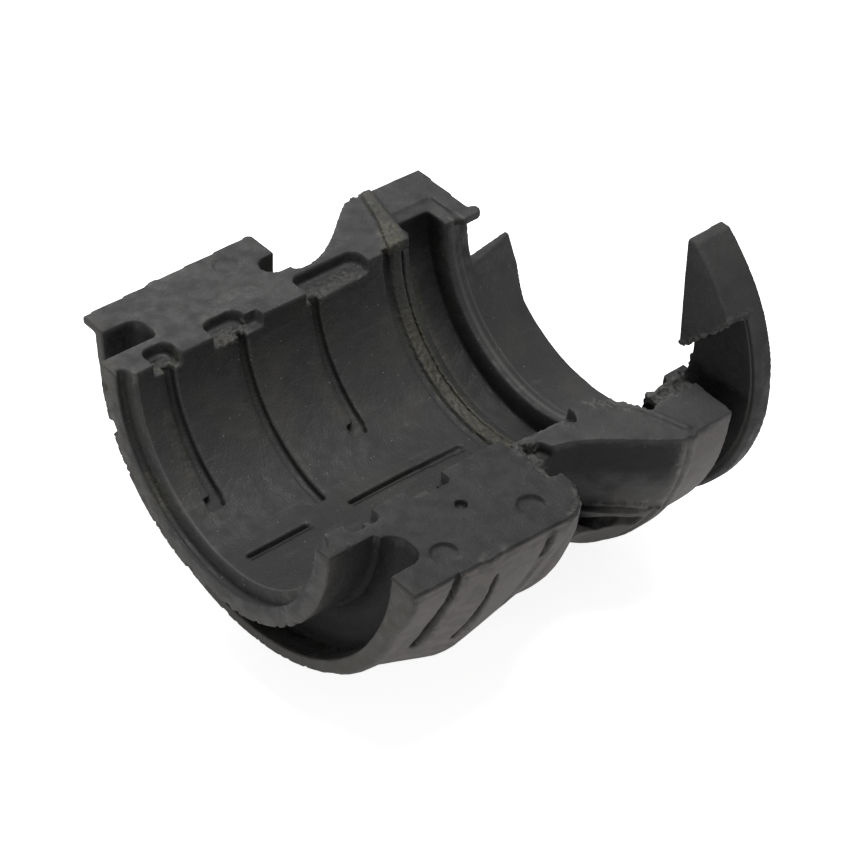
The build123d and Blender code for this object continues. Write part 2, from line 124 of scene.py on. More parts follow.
def makeWorld(settings):
    world = bpy.data.worlds.new("studioWorld")
    bpy.context.scene.world = world
    world.use_nodes = True
    nodes, links = world.node_tree.nodes, world.node_tree.links
    nodes.clear()
    soft = nodes.new("ShaderNodeBackground")
    soft.inputs["Strength"].default_value = settings["worldLight"]
    seen = nodes.new("ShaderNodeBackground")
    seen.inputs["Strength"].default_value = 1.0
    for background in (soft, seen):
        background.inputs["Color"].default_value = (1, 1, 1, 1)
    out = nodes.new("ShaderNodeOutputWorld")
    mixed = whiteForSharpRays(nodes, links, soft.outputs[0], seen.outputs[0], soft.outputs[0])
    links.new(mixed, out.inputs["Surface"])


def makeAreaLight(name, watts, place, size):
    data = bpy.data.lights.new(name, "AREA")
    data.energy = watts
    data.shape = "DISK"
    data.size = size
    lamp = bpy.data.objects.new(name, data)
    lamp.location = place
    lamp.rotation_euler = (-Vector(place)).to_track_quat("-Z", "Y").to_euler()
    bpy.context.scene.collection.objects.link(lamp)


def makeTable(settings, height):
    mesh = bpy.data.meshes.new("whiteTable")
    bm = bmesh.new()
    bmesh.ops.create_grid(bm, x_segments=1, y_segments=1, size=settings["tableSize"] / 2)
    bmesh.ops.translate(bm, verts=bm.verts, vec=(0, 0, height))
    bm.to_mesh(mesh)
    bm.free()
    table = bpy.data.objects.new("whiteTable", mesh)
    bpy.context.scene.collection.objects.link(table)
    material = bpy.data.materials.new("whiteTable")
    material.use_nodes = True
    nodes, links = material.node_tree.nodes, material.node_tree.links
    nodes.clear()
    matt = nodes.new("ShaderNodeBsdfDiffuse")
    matt.inputs["Color"].default_value = settings["tableColor"]
    glow = nodes.new("ShaderNodeEmission")
    glow.inputs["Strength"].default_value = settings["tableGlow"]
    lifted = nodes.new("ShaderNodeAddShader")
    links.new(matt.outputs[0], lifted.inputs[0])
    links.new(glow.outputs[0], lifted.inputs[1])
    shine = nodes.new("ShaderNodeEmission")
    shine.inputs["Strength"].default_value = settings["tableShine"]
    mirrored = nodes.new("ShaderNodeAddShader")
    links.new(matt.outputs[0], mirrored.inputs[0])
    links.new(shine.outputs[0], mirrored.inputs[1])
    out = nodes.new("ShaderNodeOutputMaterial")
    mixed = whiteForSharpRays(nodes, links, matt.outputs[0], lifted.outputs[0], mirrored.outputs[0])
    links.new(mixed, out.inputs["Surface"])
    mesh.materials.append(material)


bpy.context.scene.view_settings.view_transform = "Standard"
makeWorld(studio)
makeAreaLight("keyLight", studio["keyWatts"], studio["keyPlace"], studio["keySize"])
makeAreaLight("leftLight", studio["leftWatts"], studio["leftPlace"], studio["leftSize"])
makeAreaLight("frontLight", studio["frontWatts"], studio["frontPlace"], studio["frontSize"])
makeTable(studio, cadLow.z - studio["tableDrop"])
print("studio ready")


# moulded rubber body: how fine its skin is and how far each kind of wear moves it
rubberShape = {
    "voxel": 0.18 * mm,
    "quickVoxel": 0.5 * mm,
    "softness": 0.5,
    "smoothRounds": 2,
    "triangles": 190000,
    "mergeWithin": 0.002 * mm,
    "unevenness": 0.05,
    "rimRaggedness": 0.50,
    "crumble": 0.16,
    "tear": 0.38,
    "plateLip": 0.12,
    "markRadius": 1.4,
    "markDepth": 0.6,
}

# stations along the bore, in millimetres from the middle of the bar seat
stations = {"nearEnd": -13.0, "shellNear": -10.0, "voidStep": -7.5, "ribs": 24.1}

# how far noise moves the edges of worn places, and the least wear and the dust of the ribs
wander = {"edge": 0.35, "dust": 0.3}
ribs = {"leastWear": 0.25, "dust": 0.7}

# waves per millimetre of each kind of unevenness
ripples = {
    "broad": 0.22,
    "middle": 0.9,
    "edge": 1.3,
    "nick": 0.62,
    "smallNick": 1.9,
    "crumb": 1.5,
    "smallCrumb": 4.3,
    "tear": 1.1,
    "smallTear": 2.7,
    "shadow": 0.5,
}
middleShare = 0.4

# crumbs and tears: their level, how much the ridges take away and how much small crumbs add
ridges = {"crumb": (0.35, 1.5, 0.5), "tear": (0.5, 1.6, 0.6)}

# nicks in the rims: noise at which they begin and are full, and how they lean back
nicks = {"large": (0.16, 0.42), "small": (0.1, 0.4), "smallShare": 0.3, "backwards": 0.6}

# where a mask begins and is full, in millimetres, and for four numbers also where it ends again
zones = {
    "sleeveRimReach": (0.2, 1.0),
    "sleeveRimRadius": (17.5, 18.3),
    "shellRimReach": (0.2, 1.2),
    "shellRimRadius": (23.8, 24.6),
    "rimDepth": (1.0, 3.0),
    "rimRightEnd": (12.0, 17.0),
    "ribWear": (4.0, 14.0),
    "ribHalfWidth": (0.9, 1.5),
    "ribRadius": (16.9, 17.6),
    "ribTop": (-0.1, 0.3),
    "flankFall": (1.0, 9.0),
    "flankSkin": (-2.0, -0.6),
    "besideGroove": (-1.9, -0.8, -0.5, -0.2),
    "grooveShadowEnd": (9.5, 13.5),
    "boreRadius": (16.4, 19.4),
    "boreTop": (0.1, 0.8),
    "outerRadius": (22.4, 23.6),
    "outerTop": (0.3, 0.6),
    "outerEnd": (33.0, 36.0),
    "outerNear": (-10.0, -9.0),
    "neckSide": (16.0, 18.0),
    "neckAlong": (13.0, 13.6, 25.0, 26.0),
    "neckLow": (4.0, 10.0),
    "neckTop": (0.2, 0.6, 4.0, 7.5),
    "sleeveFaceRadius": (16.6, 17.4, 19.2, 19.8),
    "sleeveFaceReach": (-12.6, -11.0),
    "shellFaceRadius": (22.4, 23.4),
    "shellFaceReach": (-9.8, -9.0),
    "plateSide": (14.6, 15.4),
    "plateSkin": (0.2, 0.5),
    "plateEnd": (11.5, 14.0),
    "voidStepWidth": (0.25, 0.5),
    "voidStepRadius": (16.6, 17.2),
    "voidRadius": (17.8, 18.4),
    "voidOuterRadius": (23.2, 23.8),
    "voidAlong": (-9.9, -9.0, 7.0, 9.0),
    "voidTop": (0.2, 1.0),
    "voidDeep": (-7.0, -6.4),
    "channelAlong": (26.2, 26.8, 31.0, 31.4),
    "channelRadius": (16.4, 17.0, 19.8, 20.4),
    "channelTop": (0.1, 0.6),
    "channelFall": (3.0, 7.5),
    "channelFar": (27.6, 29.0),
}

# how dark the painted shade is in each unlit place
paintedShade = {
    "rightPlate": 0.55,
    "neckTop": 0.8,
    "slotFloor": 0.9,
    "flankGrooves": 0.75,
    "roundMarks": 0.9,
    "grooveShadow": 0.5,
    "voidNear": 0.52,
    "voidDeep": 0.28,
    "voidStep": 0.95,
    "channelTop": 0.8,
    "channelFar": 0.35,
}
# share of the pale outer colour kept low on the neck: painted light from the white table
neckLowTableLight = 0.5

# right flank: how far the turned shell stands out and where the plate over it ends, by station
flankProfile = (
    (-10.0, 24.55), (-9.2, 25.25), (-7.0, 25.45), (-1.0, 27.45), (9.0, 25.95), (12.5, 25.95),
)
plateEdge = ((-10.0, 26.75), (8.9, 27.6), (11.4, 26.4), (12.5, 24.4))
flank = {"left": 22.0, "near": -10.6, "far": 12.6, "bottom": -9.5, "top": -0.35, "shellAxis": 0.35}

# corners of the blocks that close the gaps under the right plate and beside the torn stub
fillers = (
    ((25.4, -3.4, -1.55), (27.3, 3.6, -0.8)),
    ((24.4, -9.9, -1.3), (25.6, -3.2, -0.6)),
    ((24.9, 3.4, -1.5), (27.0, 9.6, -0.6)),
    ((18.4, 27.6, -4.0), (21.4, 32.8, -0.4)),
)

# pressed in millimetres: points, half width and depth; a depth below nought raises the skin
# the neck slot's floor is also darkened with painted shade
neckSlot = (((19.0, 20.1, -12.4), (21.3, 21.6, -12.2), (22.7, 23.7, -12.3)), 0.95, 1.1)
neckLedge = (((18.6, 19.8, -10.3), (21.9, 22.2, -10.3), (23.3, 24.2, -10.3)), 0.6, -0.4)
flankGrooves = (
    (((26.2, -4.7, -0.9), (25.5, -5.4, -4.5), (24.6, -5.6, -7.2), (22.7, -5.9, -11.8)), 0.62, 1.0),
    (
        ((26.0, 6.8, -0.9), (25.8, 6.5, -4.0), (25.6, 6.5, -6.6), (25.0, 5.9, -9.0), (23.4, 5.0, -12.2)),
        0.7, 1.0,
    ),
)
flankGrooveDark = {"left": 21.0, "top": -0.5, "widening": 1.05}

# painted shadow beside the grooves round the bore: their stations, and where on the bore it lies
boreGrooveShadow = {"stations": (-6.6, 2.7, 12.4), "right": -3.0, "inner": 14.5, "outer": 16.3, "wander": 0.25}

# shallow round marks on the plates: centre, and how much of their depth is left at the back and front
leftMarks = (((-24.0, -4.0), 0.25, 0.15), ((-24.0, 7.0), 0.45, 0.35))
rightMarks = (((24.0, -4.0), 1.0, 0.15), ((24.0, 7.0), 1.1, 0.25))
markEdge = {
    "reach": 1.25,
    "above": 0.1,
    "diagonal": 1.42,
    "rise": (0.55, 0.9),
    "fall": (1.05, 1.2),
    "back": (0.1, 0.7),
}

# worn places in millimetres, with one painted highlight among the chalk: the points of a line along the
# place, its reach and its strength
tornPlaces = (
    (
        ((18.1, 32.6, 3.4), (20.0, 32.6, 5.2), (22.6, 32.6, 7.6), (24.2, 32.8, 10.2), (24.2, 35.4, 10.6)),
        0.42, 0.9,
    ),
    (((18.1, 35.2, 3.4), (20.0, 35.2, 5.2), (22.6, 35.2, 7.6), (24.0, 35.2, 10.2)), 0.4, 0.5),
    (((14.0, 36.6, -6.0), (15.8, 36.6, -2.5), (17.2, 36.6, -0.6)), 1.0, 0.6),
    (((13.0, 34.4, -6.4), (15.6, 34.4, -4.0), (17.4, 34.4, -2.6)), 1.1, 0.6),
    (((15.9, 31.6, 0.0), (15.0, 33.4, -5.0), (13.6, 33.4, -8.2)), 0.9, 0.8),
    (((19.0, 28.4, -0.4), (19.4, 32.6, -0.4)), 1.3, 0.7),
    (((15.6, 22.6, -0.6), (17.4, 23.6, -0.8), (20.2, 25.6, -0.8)), 1.4, 0.8),
    (((17.2, 12.4, -0.8), (19.4, 12.2, -0.8), (21.4, 12.2, -0.8)), 1.6, 0.9),
    (((16.0, 18.6, -0.6), (17.2, 18.2, -0.6)), 1.0, 0.8),
    (((-16.4, 11.8, -1.3), (-16.4, 18.6, -1.3)), 1.5, 0.4),
    (((-16.0, -0.6, -1.3), (-15.8, 2.6, -1.2)), 1.2, 0.9),
    (((-16.0, -8.4, -1.3), (-16.0, -6.0, -1.2)), 1.1, 0.6),
    (((16.0, 12.0, -1.2), (16.0, 18.6, -1.2)), 1.1, 0.5),
    (((27.2, 9.0, -0.6), (26.4, 11.2, -0.6), (24.0, 12.6, -0.6)), 0.7, 0.7),
)
dustyPlaces = (
    (((-15.9, 23.4, 0.3), (-17.0, 24.0, 0.5), (-18.4, 24.6, 0.5)), 1.2, 1.0),
    (((-17.6, 24.4, 0.3), (-20.5, 25.6, 0.4), (-25.4, 27.3, 0.2)), 0.8, 0.5),
    (((-15.7, -8.4, -0.8), (-15.8, -5.8, -0.8)), 0.8, 0.7),
    (((-15.5, -0.6, -0.8), (-15.4, 3.2, -0.8)), 0.7, 0.6),
    (((-16.2, 12.0, -1.3), (-16.0, 18.4, -1.3)), 0.6, 0.2),
    (((-13.6, -8.3, -6.4), (-12.2, -8.3, -8.7), (-9.8, -8.2, -11.4)), 1.0, 0.25),
    (((-12.6, 10.6, -8.2), (-10.8, 10.4, -10.4), (-9.0, 10.2, -12.0)), 1.1, 0.2),
    (((-11.9, -12.2, -11.0), (-9.8, -12.2, -12.9)), 1.0, 0.4),
    (((-17.8, 27.4, -7.0), (-13.0, 27.2, -14.0), (-6.0, 27.0, -18.1)), 1.4, 0.35),
)
chalkAndHighlightPlaces = (
    (((-17.6, 0.0, 0), (-19.2, 3.6, 0), (-18.8, 6.4, 0)), 1.0, 0.4),
    (((-25.8, 0.2, 0), (-25.8, 3.0, 0)), 0.8, 0.3),
    (((26.7, -1.8, 0), (26.9, 1.0, 0)), 0.5, 0.35),
    (((-14.9, -12.4, -0.8), (-14.9, -11.2, -0.4)), 0.7, 0.9),
    (((17.0, 23.0, -1.2), (18.8, 24.7, -1.0), (20.6, 26.1, -0.8)), 0.7, 0.9),
    # the lit top of the neck ledge: a painted highlight
    (((18.6, 17.0, -9.8), (21.9, 21.8, -9.8), (23.3, 24.0, -9.9)), 0.6, 0.8),
    (((26.5, 25.7, -0.6), (25.4, 25.7, -8.0), (21.2, 25.7, -16.0)), 0.35, 0.8),
    (((26.5, 26.9, -0.6), (25.4, 26.9, -8.0), (21.2, 26.9, -16.0)), 0.35, 0.8),
)
placeEdge = {"full": 0.55, "gone": 1.25, "boxReach": 1.4}
grooveEdge = {"full": 0.5, "gone": 1.1}


def ease(low, high, value):
    share = min(1.0, max(0.0, (value - low) / (high - low)))
    return share * share * (3 - 2 * share)


def fade(name, value):
    zone = zones[name]
    share = ease(*zone[:2], value)
    if len(zone) == 4:
        share *= 1 - ease(*zone[2:], value)
    return share


def ripple(name, point):
    return noise.noise(point * ripples[name])


def radiusOf(point):
    return math.hypot(point.x, point.z)


def distanceToLine(point, line):
    best = math.inf
    for start, end in zip(line, line[1:]):
        along = end - start
        share = min(1.0, max(0.0, (point - start).dot(along) / along.length_squared))
        best = min(best, (point - start - along * share).length)
    return best


def preparePlaces(places):
    prepared = []
    for points, reach, strength in places:
        line = [Vector(point) for point in points]
        margin = placeEdge["boxReach"] * reach
        low = [min(point[axis] for point in line) - margin for axis in range(3)]
        high = [max(point[axis] for point in line) + margin for axis in range(3)]
        prepared.append((line, reach, strength, low, high))
    return prepared


def insideBox(point, low, high):
    return all(low[axis] < point[axis] < high[axis] for axis in range(3))


def placeMask(point, places, edgeNoise):
    best = 0.0
    for line, reach, strength, low, high in places:
        if insideBox(point, low, high):
            gap = distanceToLine(point, line) / reach + edgeNoise
            best = max(best, strength * (1 - ease(placeEdge["full"], placeEdge["gone"], gap)))
    return best


tornSpots = preparePlaces(tornPlaces)
dustySpots = preparePlaces(dustyPlaces)
chalkAndHighlightSpots = preparePlaces(chalkAndHighlightPlaces)
slotSpots = preparePlaces((neckSlot,))
pressedSpots = preparePlaces((neckSlot, neckLedge, *flankGrooves))
flatGrooves = [
    ([(0, y, z) for x, y, z in line], flankGrooveDark["widening"] * reach, 1.0)
    for line, reach, depth in flankGrooves
]
flatGrooveSpots = preparePlaces(flatGrooves)


def rimMask(point):
    # outer corners of the two rims at the near end
    radius = radiusOf(point)
    sleeveRim = 1 - fade("sleeveRimReach", point.y - stations["nearEnd"])
    sleeveRim *= fade("sleeveRimRadius", radius)
    shellRim = 1 - fade("shellRimReach", abs(point.y - stations["shellNear"]))
    shellRim *= fade("shellRimRadius", radius)
    return max(sleeveRim, shellRim) * fade("rimDepth", -point.z) * (1 - fade("rimRightEnd", point.x))


def ribMask(point):
    # crumbled rib pair round the bore, worse towards the bottom
    wear = ribs["leastWear"] + (1 - ribs["leastWear"]) * fade("ribWear", -point.z)
    wear *= 1 - fade("ribHalfWidth", abs(point.y - stations["ribs"]))
    return wear * (1 - fade("ribRadius", radiusOf(point))) * fade("ribTop", -point.z)


def valueAt(profile, station):
    if station <= profile[0][0]:
        return profile[0][1]
    for (start, low), (end, high) in zip(profile, profile[1:]):
        if station < end:
            return low + (high - low) * (station - start) / (end - start)
    return profile[-1][1]


def flankShift(point, lip):
    # the right flank stands nearly flush with the plate over it, and runs into the turned shell below
    if point.x < flank["left"] or not flank["near"] < point.y < flank["far"]:
        return 0.0
    if not flank["bottom"] < point.z < flank["top"]:
        return 0.0
    edge = valueAt(plateEdge, point.y) - lip
    shell = valueAt(flankProfile, point.y)
    wanted = max(0.0, edge - shell) * (1 - fade("flankFall", -point.z))
    outer = fade("flankSkin", math.hypot(point.x - flank["shellAxis"], point.z) - shell)
    return max(0.0, min(wanted * outer, edge - point.x))


def grooveShadow(point):
    # painted shadow along the near side of the grooves round the left half of the bore
    if point.x > boreGrooveShadow["right"] or not boreGrooveShadow["inner"] < radiusOf(point) < boreGrooveShadow["outer"]:
        return 0.0
    moved = point.y + boreGrooveShadow["wander"] * ripple("shadow", point)
    shadow = max(fade("besideGroove", moved - station) for station in boreGrooveShadow["stations"])
    return shadow * (1 - fade("grooveShadowEnd", -point.z))


def nearMark(point, marks, radius):
    # the round mark at this point, how far the point is from its centre and how far to its back edge
    for (x, y), back, front in marks:
        gap = math.hypot(point.x - x, point.y - y)
        if gap < markEdge["reach"] * radius:
            lean = ((x - point.x) + (point.y - y)) / (markEdge["diagonal"] * radius)
            return back, front, gap / radius, lean
    return None


def markLift(point, settings):
    # what is left of a round mark's depth leans towards its back edge
    if not -settings["markDepth"] < point.z < 0:
        return 0.0
    mark = nearMark(point, leftMarks + rightMarks, settings["markRadius"])
    if mark is None:
        return 0.0
    back, front, gap, lean = mark
    left = front + (back - front) * min(1.0, max(0.0, 0.5 + 0.5 * lean))
    return -point.z * (1 - left)


def markShade(point, settings):
    # painted shade in the back edge of the round marks on the right plate
    if not -settings["markDepth"] < point.z < markEdge["above"]:
        return 0.0
    mark = nearMark(point, rightMarks, settings["markRadius"])
    if mark is None:
        return 0.0
    back, front, gap, lean = mark
    return ease(*markEdge["rise"], gap) * (1 - ease(*markEdge["fall"], gap)) * ease(*markEdge["back"], lean)


def grooveShade(point):
    # painted shade inside the flank grooves, however deep they were pressed
    if point.x < flankGrooveDark["left"] or point.z > flankGrooveDark["top"]:
        return 0.0
    return placeMask(Vector((0, point.y, point.z)), flatGrooveSpots, 0)


def neckMask(point):
    return fade("neckSide", point.x) * fade("neckAlong", point.y)


# the bore: its colour is a little darker there as painted shade, and dust, streaks and specks gather there
def insideShade(point):
    return (1 - fade("boreRadius", radiusOf(point))) * fade("boreTop", -point.z)


# pale outer skin, left off the neck as painted shade; low on the neck half of it comes back as painted
# light from the white table
def outsideShade(point):
    outside = fade("outerRadius", radiusOf(point)) * fade("outerTop", -point.z)
    outside *= fade("outerNear", point.y) * (1 - fade("outerEnd", point.y))
    return outside * (1 - neckMask(point) * (1 - neckLowTableLight * fade("neckLow", -point.z)))


def brownShade(point):
    # the two faces at the near end
    radius = radiusOf(point)
    sleeveFace = fade("sleeveFaceRadius", radius) * (1 - fade("sleeveFaceReach", point.y))
    shellFace = fade("shellFaceRadius", radius) * (1 - fade("shellFaceReach", point.y))
    return max(sleeveFace, shellFace)


def voidShade(point):
    # painted shade on the walls of the ring-shaped void, darkest at the step in the sleeve
    radius = radiusOf(point)
    step = 1 - fade("voidStepWidth", abs(point.y - stations["voidStep"]))
    wall = max(fade("voidRadius", radius), step * fade("voidStepRadius", radius))
    wall *= (1 - fade("voidOuterRadius", radius)) * fade("voidAlong", point.y) * fade("voidTop", -point.z)
    deep = paintedShade["voidNear"] + paintedShade["voidDeep"] * fade("voidDeep", point.y)
    return wall * max(deep, paintedShade["voidStep"] * step)


def channelShade(point):
    # painted shade in the wide channel past the ribs: dark at its top and along the lip
    channel = fade("channelAlong", point.y) * fade("channelRadius", radiusOf(point))
    channel *= fade("channelTop", -point.z)
    top = paintedShade["channelTop"] * (1 - fade("channelFall", -point.z))
    return channel * max(top, paintedShade["channelFar"] * fade("channelFar", point.y))


# painted shade over the top of the right plate
def plateShade(point):
    plate = fade("plateSide", point.x) * (1 - fade("plateSkin", -point.z))
    return plate * (1 - fade("plateEnd", point.y))


# painted shade: the darkest of the shaded places below
def darkShade(point, edgeNoise, settings):
    return max(
        paintedShade["rightPlate"] * plateShade(point),
        paintedShade["neckTop"] * neckMask(point) * fade("neckTop", -point.z),
        paintedShade["slotFloor"] * placeMask(point, slotSpots, edgeNoise),
        paintedShade["flankGrooves"] * grooveShade(point),
        paintedShade["roundMarks"] * markShade(point, settings),
        paintedShade["grooveShadow"] * grooveShadow(point),
        voidShade(point),
        channelShade(point),
    )


def evaluatedMesh(source, name):
    graph = bpy.context.evaluated_depsgraph_get()
    graph.update()
    mesh = bpy.data.meshes.new_from_object(source.evaluated_get(graph), depsgraph=graph)
    mesh.name = name
    return mesh


def makeBody(settings):
    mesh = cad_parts["bushing_half"].data.copy()
    bm = bmesh.new()
    bm.from_mesh(mesh)
    bmesh.ops.remove_doubles(bm, verts=bm.verts, dist=settings["mergeWithin"])
    for low, high in fillers:
        fillLow, fillHigh = Vector(low) * mm, Vector(high) * mm
        filler = Matrix.LocRotScale((fillLow + fillHigh) / 2, None, fillHigh - fillLow)
        bmesh.ops.create_cube(bm, size=1, matrix=filler)
    bm.to_mesh(mesh)
    bm.free()
    body = bpy.data.objects.new("mouldedRubber", mesh)
    bpy.context.scene.collection.objects.link(body)
    remesh = body.modifiers.new("evenSkin", "REMESH")
    remesh.mode = "VOXEL"
    remesh.voxel_size = settings["voxel"]
    soften = body.modifiers.new("softEdges", "SMOOTH")
    soften.factor = settings["softness"]
    soften.iterations = settings["smoothRounds"]
    skin = evaluatedMesh(body, "evenSkin")
    body.modifiers.clear()
    body.data = skin
    print("skin", len(skin.vertices), "vertices")
    return body


def rimNick(point, depth):
    # nicks that eat inwards and back from a rim's outer corner
    rim = rimMask(point)
    if rim == 0:
        return Vector()
    nick = ease(*nicks["large"], ripple("nick", point))
    nick += nicks["smallShare"] * ease(*nicks["small"], ripple("smallNick", point))
    inwards = Vector((-point.x, 0, -point.z)).normalized() + Vector((0, nicks["backwards"], 0))
    return inwards * rim * depth * nick


def pressedDepth(point):
    pressed = 0.0
    for line, reach, depth, low, high in pressedSpots:
        if insideBox(point, low, high):
            gap = distanceToLine(point, line) / reach
            pressed += depth * (1 - ease(grooveEdge["full"], grooveEdge["gone"], gap))
    return pressed


def ridged(name, smallName, point):
    level, ridge, small = ridges[name]
    return level - ridge * abs(ripple(name, point)) + small * ripple(smallName, point)


def wearMove(point, settings):
    # how far the wear moves the skin along its normal, in millimetres
    torn = placeMask(point, tornSpots, wander["edge"] * ripple("edge", point))
    dusty = placeMask(point, dustySpots, wander["dust"] * ripple("edge", point))
    move = settings["unevenness"] * (ripple("broad", point) + middleShare * ripple("middle", point))
    crumbly = max(ribMask(point), dusty)
    if crumbly > 0:
        move += crumbly * settings["crumble"] * ridged("crumb", "smallCrumb", point)
    if torn > 0:
        move += torn * settings["tear"] * ridged("tear", "smallTear", point)
    return move - pressedDepth(point)


def wearBody(body, settings):
    skin = body.data
    normals = [Vector(entry.vector) for entry in skin.vertex_normals]
    for vertex, normal in zip(skin.vertices, normals):
        point = vertex.co / mm
        shift = rimNick(point, settings["rimRaggedness"]) + normal * wearMove(point, settings)
        shift.x += flankShift(point, settings["plateLip"])
        shift.z += markLift(point, settings)
        vertex.co += shift * mm


def keepLargestPart(mesh):
    # the voxel skin leaves a few specks beside thin edges
    bm = bmesh.new()
    bm.from_mesh(mesh)
    unseen = set(bm.verts)
    parts = []
    while unseen:
        part = [unseen.pop()]
        for vertex in part:
            for edge in vertex.link_edges:
                other = edge.other_vert(vertex)
                if other in unseen:
                    unseen.discard(other)
                    part.append(other)
        parts.append(part)
    parts.sort(key=len)
    specks = [vertex for part in parts[:-1] for vertex in part]
    bmesh.ops.delete(bm, geom=specks, context="VERTS")
    bm.to_mesh(mesh)
    bm.free()


def thinBody(body, settings):
    triangles = 2 * len(body.data.polygons)  # the voxel skin is all quads
    thin = body.modifiers.new("fewerFaces", "DECIMATE")
    thin.ratio = min(1.0, settings["triangles"] / triangles)
    skin = evaluatedMesh(body, "mouldedRubber")
    body.modifiers.clear()
    keepLargestPart(skin)
    body.data = skin
    skin.shade_smooth()
    print("body", len(skin.polygons), "faces")


def markWearAndShade(body, settings):
    skin = body.data
    worn = skin.color_attributes.new("wornAndLitPlaces", "FLOAT_COLOR", "POINT")
    shade = skin.color_attributes.new("skinAndShadePlaces", "FLOAT_COLOR", "POINT")
    for index, vertex in enumerate(skin.vertices):
        point = vertex.co / mm
        edgeNoise = wander["edge"] * ripple("edge", point)
        dusty = max(placeMask(point, dustySpots, edgeNoise), ribs["dust"] * ribMask(point))
        torn = placeMask(point, tornSpots, edgeNoise)
        chalkAndHighlight = placeMask(point, chalkAndHighlightSpots, edgeNoise)
        worn.data[index].color = (dusty, torn, chalkAndHighlight, 1)
        dark = darkShade(point, edgeNoise, settings)
        shade.data[index].color = (insideShade(point), outsideShade(point), brownShade(point), dark)


body = makeBody(rubberShape)
wearBody(body, rubberShape)
thinBody(body, rubberShape)
markWearAndShade(body, rubberShape)
print("rubber worn")


# rubber finish: black moulded rubber, handled, dusty and chalked in places, with painted shade in unlit
# places and painted highlights on some edges
rubberFinish = {
    "paintedShadeColor": (0.006, 0.006, 0.006, 1),
    "deepColor": (0.032, 0.032, 0.032, 1),
    "paleColor": (0.046, 0.045, 0.044, 1),
    "boreColor": (0.036, 0.036, 0.036, 1),
    "outerColor": (0.174, 0.160, 0.152, 1),
    "brownColor": (0.062, 0.059, 0.052, 1),
    "dustColor": (0.092, 0.087, 0.058, 1),
    "tornColor": (0.085, 0.083, 0.078, 1),
    "chalkAndHighlightColor": (0.230, 0.225, 0.215, 1),
    "boreShare": 0.85,
    "chalkAndHighlightShare": 0.7,
    "slotShadeShare": 0.85,
    "edgeHighlightShare": 0.16,
    "discFaceShadeShare": 0.55,
    "discLineHighlightShare": 0.40,
    "roughLow": 0.50,
    "roughHigh": 0.75,
    "wornRough": 0.9,
    "shine": 0.35,
    "grainDepth": 0.05 * mm,
    "unevenDepth": 0.25 * mm,
    "unevenStrength": 0.5,
}

# noise patterns: scale and detail
rubberPatterns = {
    "cloud": (170, 5),
    "mottle": (620, 4),
    "grain": (3800, 3),
    "crumbs": (2300, 6),
    "streaks": (900, 3),
    "streakStretch": (1.0, 0.12, 1.0),
    "speckScale": 1250,
}

# how a pattern turns into a share: its low and high value, and the share at each but for the roughness
rubberShares = {
    "pale": (0.36, 0.66, 0.0, 1.0),
    "outside": (0.34, 0.64, 0.42, 0.90),
    "brown": (0.35, 0.65, 0.4, 1.0),
    "torn": (0.38, 0.62, 0.0, 1.0),
    "dusty": (0.34, 0.66, 0.08, 0.85),
    "wash": (0.50, 0.72, 0.0, 0.16),
    "rubbedAndLit": (0.42, 0.62, 0.0, 1.0),
    "rough": (0.3, 0.7),
    "streaked": (0.60, 0.74, 0.0, 0.10),
    "speckDot": (0.05, 0.14, 1.0, 0.0),
    "speckKept": (0.50, 1.1, 0.0, 1.0),
    "speckInside": (0.0, 1.0, 0.3, 0.9),
    "pastBellRadius": (19.6 * mm, 20.0 * mm, 0.0, 1.0),
    "pastBellSide": (16.6 * mm, 17.4 * mm, 0.0, 1.0),
    "discHeight": (-8.0 * mm, 2.0 * mm, 0.3, 1.25),
}

# fine lines in millimetres: middle, half width and softness
rubberLines = {
    "nearSlots": (-5.0, 4.0, 0.1),
    "farSlots": (12.15, 7.85, 0.1),
    "thinSlot": (1.1, 0.12, 0.05),
    "boreFloor": (-15.3, 0.6, 0.1),
    "lipNear": (31.95, 0.22, 0.16),
    "lipFar": (33.0, 0.12, 0.10),
    "lipRadius": (15.9, 0.9, 0.3),
    "seatEdge": (-11.05, 0.12, 0.08),
    "seatRadius": (15.0, 0.4, 0.2),
    "discPlane": (35.6, 0.5, 0.1),
    "discFaceShade": (10.0, 9.9, 0.2),
    "discEdgeShade": (20.68, 0.14, 0.06),
    "discLineHighlight": (20.25, 0.20, 0.08),
    "discCenter": (5.35, -0.75),
}


def addNoise(tree, place, pattern, stretch=None):
    step = tree.nodes.new("ShaderNodeTexNoise")
    scale, detail = pattern
    step.inputs["Scale"].default_value = scale
    step.inputs["Detail"].default_value = detail
    if stretch:
        mapping = tree.nodes.new("ShaderNodeMapping")
        mapping.inputs["Scale"].default_value = stretch
        tree.links.new(place, mapping.inputs["Vector"])
        place = mapping.outputs[0]
    tree.links.new(place, step.inputs["Vector"])
    return step.outputs["Fac"]


def spread(tree, value, low, high, outLow, outHigh):
    step = tree.nodes.new("ShaderNodeMapRange")
    step.interpolation_type = "SMOOTHSTEP"
    tree.links.new(value, step.inputs["Value"])
    for name, number in (("From Min", low), ("From Max", high), ("To Min", outLow), ("To Max", outHigh)):
        step.inputs[name].default_value = number
    return step.outputs[0]


def setOrLink(tree, socket, value):
    if isinstance(value, (int, float, tuple)):
        socket.default_value = value
    else:
        tree.links.new(value, socket)


def combine(tree, operation, first, second):
    step = tree.nodes.new("ShaderNodeMath")
    step.operation = operation
    setOrLink(tree, step.inputs[0], first)
    setOrLink(tree, step.inputs[1], second)
    return step.outputs[0]


def largest(tree, first, second):
    return combine(tree, "MAXIMUM", first, second)


def scaled(tree, first, second):
    return combine(tree, "MULTIPLY", first, second)


def distance(tree, first, second):
    squares = combine(tree, "ADD", scaled(tree, first, first), scaled(tree, second, second))
    return combine(tree, "SQRT", squares, 0)


